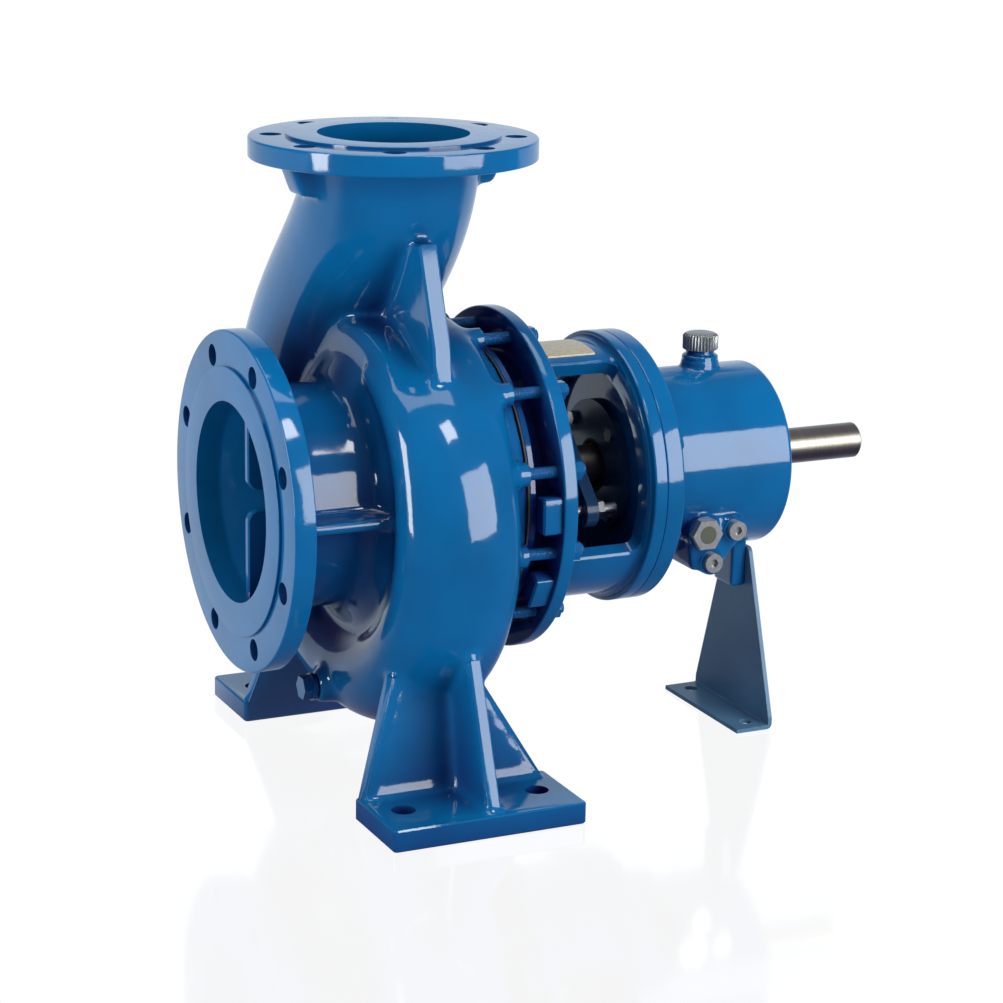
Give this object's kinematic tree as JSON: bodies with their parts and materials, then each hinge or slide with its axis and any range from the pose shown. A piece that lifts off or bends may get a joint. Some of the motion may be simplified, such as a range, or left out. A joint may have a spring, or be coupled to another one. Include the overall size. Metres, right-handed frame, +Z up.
{
  "type": "centrifugal pump",
  "caption": "End suction volute pump with flanged inlet and outlet, cast feet, packed stuffing box, lantern, oil filled bearing housing and bare keyed shaft end.",
  "frame": {"origin": "floor level under the shaft and the discharge flange, at the centre of the casing foot bolts", "axes": "+X along the shaft towards the drive end, +Z up"},
  "size_m": [0.717, 0.5322, 0.645],
  "materials": {
    "blue_enamel": "glossy enamel over cast iron",
    "dark_enamel": "dark enamel, semi-gloss",
    "bracket_enamel": "thin grey-blue enamel on sheet steel",
    "fastener_steel": "zinc plated, dull",
    "bronze": "turned bronze",
    "cast_iron": "cast, bare",
    "gasket_sheet": "pressed fibre sheet",
    "packing_yarn": "braided graphite yarn",
    "shaft_steel": "ground steel",
    "seal_rubber": "moulded rubber",
    "nickel": "nickel plated",
    "sight_glass": "clear glass",
    "bearing_steel": "polished",
    "bare_plate": "bare, brushed"
  },
  "bodies": {
    "frame": {"volute_casing": "blue_enamel", "casing_suction_flange": "blue_enamel", "casing_suction_neck": "blue_enamel", "casing_discharge_neck": "blue_enamel", "casing_discharge_flange": "blue_enamel", "casing_feet": "blue_enamel", "lantern": "blue_enamel", "bearing_housing": "blue_enamel", "casing_cover": "dark_enamel", "casing_studs": "blue_enamel", "casing_nuts": "blue_enamel", "gland_studs": "fastener_steel", "housing_screws": "blue_enamel", "casing_drain_plug": "blue_enamel", "support_foot_screw": "fastener_steel", "support_foot": "bracket_enamel", "front_bearing_cover": "dark_enamel", "rear_bearing_cover": "blue_enamel", "bearing_cover_screws": "fastener_steel", "casing_wear_ring": "bronze", "cover_gasket": "gasket_sheet", "packing_rings": "packing_yarn", "seal_water_ring": "bronze", "nameplate": "bare_plate", "front_lip_seal": "seal_rubber", "rear_lip_seal": "seal_rubber", "sight_glass_body": "nickel", "oil_plugs": "nickel", "sight_glass": "sight_glass", "front_outer_race": "bearing_steel", "rear_outer_race": "bearing_steel"},
    "rotor": {"shaft": "shaft_steel", "shaft_sleeve": "shaft_steel", "impeller": "cast_iron", "impeller_key": "fastener_steel", "impeller_washer": "fastener_steel", "impeller_nut": "bronze", "front_inner_race": "bearing_steel", "rear_inner_race": "bearing_steel", "bearing_lock_nut": "fastener_steel"},
    "front_cage": {"front_ball_cage": "bearing_steel"},
    "rear_cage": {"rear_ball_cage": "bearing_steel"},
    "gland": {"gland_follower": "dark_enamel", "gland_nuts": "fastener_steel"},
    "cap": {"filler_cap": "nickel"}
  },
  "joints": [
    {"name": "rotor_spin", "type": "hinge", "parent": "frame", "child": "rotor", "pos_m": [0, 0, 0.288], "axis": [1, 0, 0], "continuous": true},
    {"name": "front_cage_spin", "type": "hinge", "parent": "frame", "child": "front_cage", "pos_m": [0.2765, 0, 0.288], "axis": [1, 0, 0], "continuous": true},
    {"name": "rear_cage_spin", "type": "hinge", "parent": "frame", "child": "rear_cage", "pos_m": [0.3855, 0, 0.288], "axis": [1, 0, 0], "continuous": true},
    {"name": "gland_slide", "type": "slide", "parent": "frame", "child": "gland", "axis": [1, 0, 0], "range_m": [0, 0.012]},
    {"name": "cap_lift", "type": "slide", "parent": "frame", "child": "cap", "axis": [0, 0, 1], "range_m": [0, 0.03]}
  ],
  "couplings": [
    {"joint": "front_cage_spin", "follows": "rotor_spin", "ratio": 0.38},
    {"joint": "rear_cage_spin", "follows": "rotor_spin", "ratio": 0.38}
  ]
}
